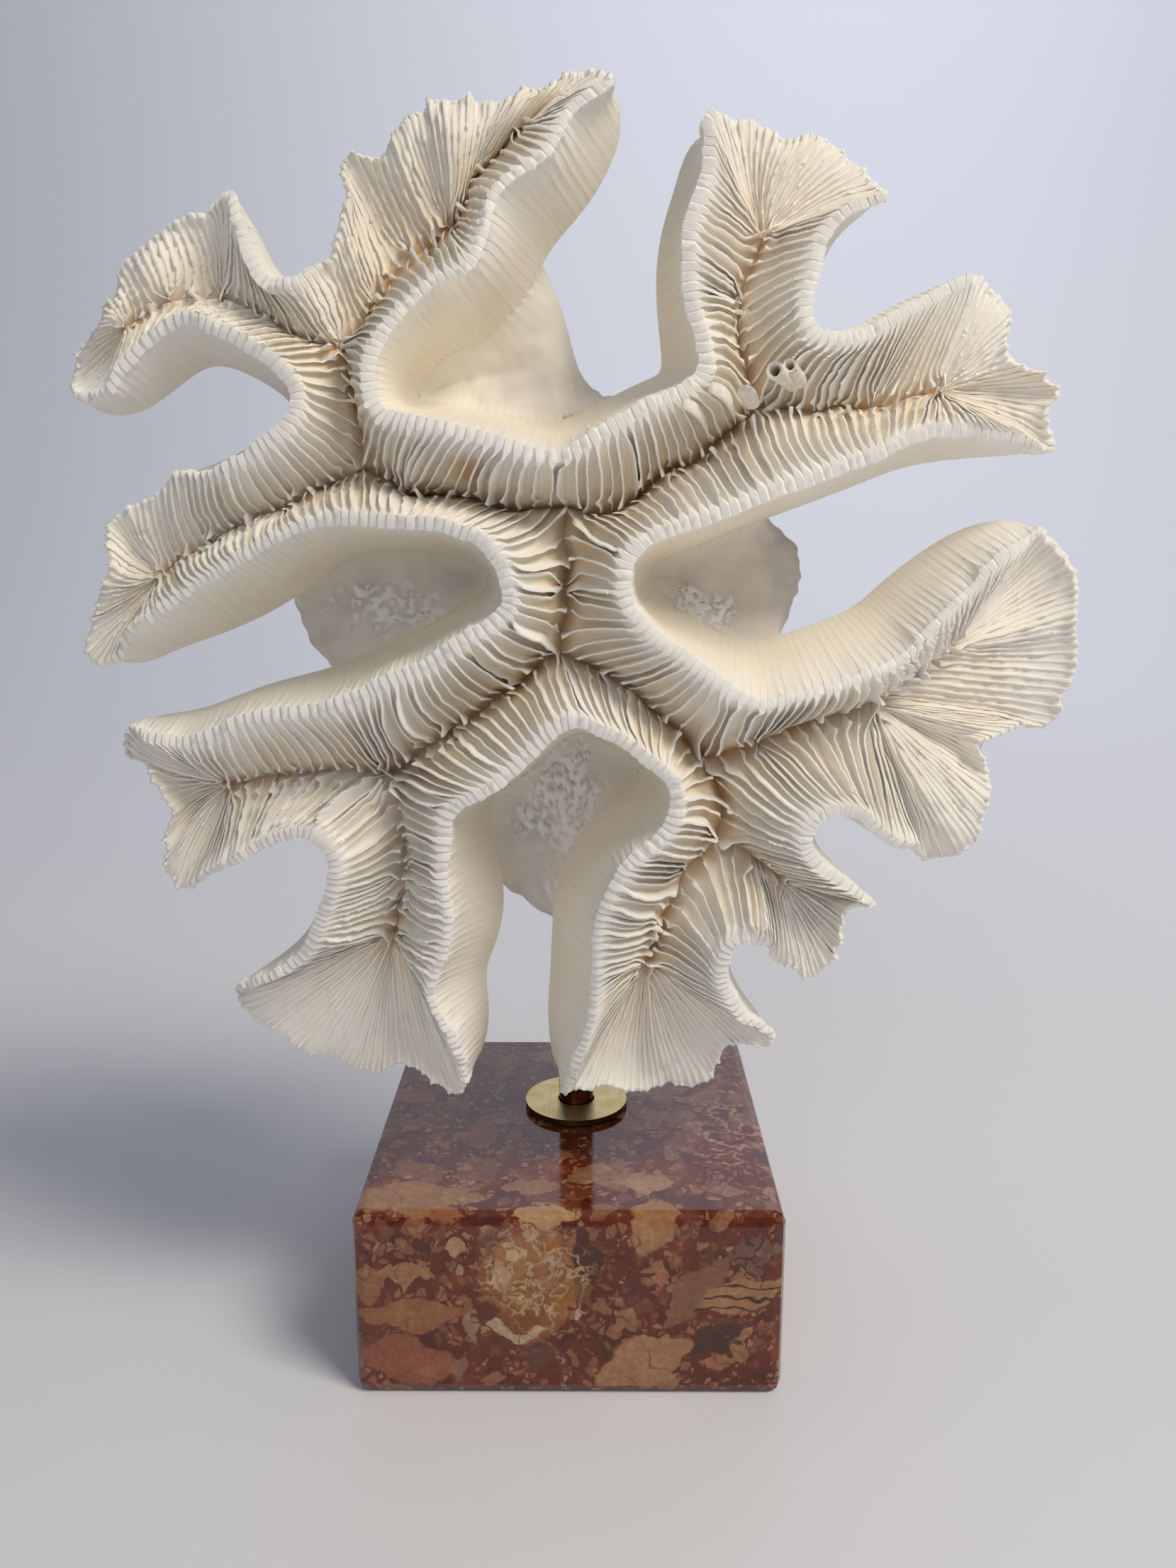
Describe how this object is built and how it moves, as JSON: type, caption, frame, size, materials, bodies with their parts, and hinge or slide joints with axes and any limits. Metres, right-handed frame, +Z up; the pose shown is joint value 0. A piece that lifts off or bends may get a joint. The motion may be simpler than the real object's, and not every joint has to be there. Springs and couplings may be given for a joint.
{
  "type": "brain coral skeleton on a stand",
  "caption": "Lobed brain coral skeleton with winding ridged valleys, held upright by a rod on a square marble block.",
  "frame": {"origin": "centre of the marble block's underside", "axes": "+Z up along the rod, -Y out of the coral's front, +X to the right as the front is seen"},
  "size_m": [0.1758, 0.0879, 0.2322],
  "materials": {
    "aragonite": "matt ivory skeleton",
    "bronzed_steel": "polished, dark brown",
    "brass": "satin",
    "red_marble": "polished"
  },
  "bodies": {
    "root": {"coral_middle": "aragonite", "arm_upper_right": "aragonite", "arm_lower_right": "aragonite", "arm_lower_left": "aragonite", "arm_upper_left": "aragonite", "rod": "bronzed_steel", "washer": "brass", "marble_block": "red_marble"}
  },
  "joints": []
}
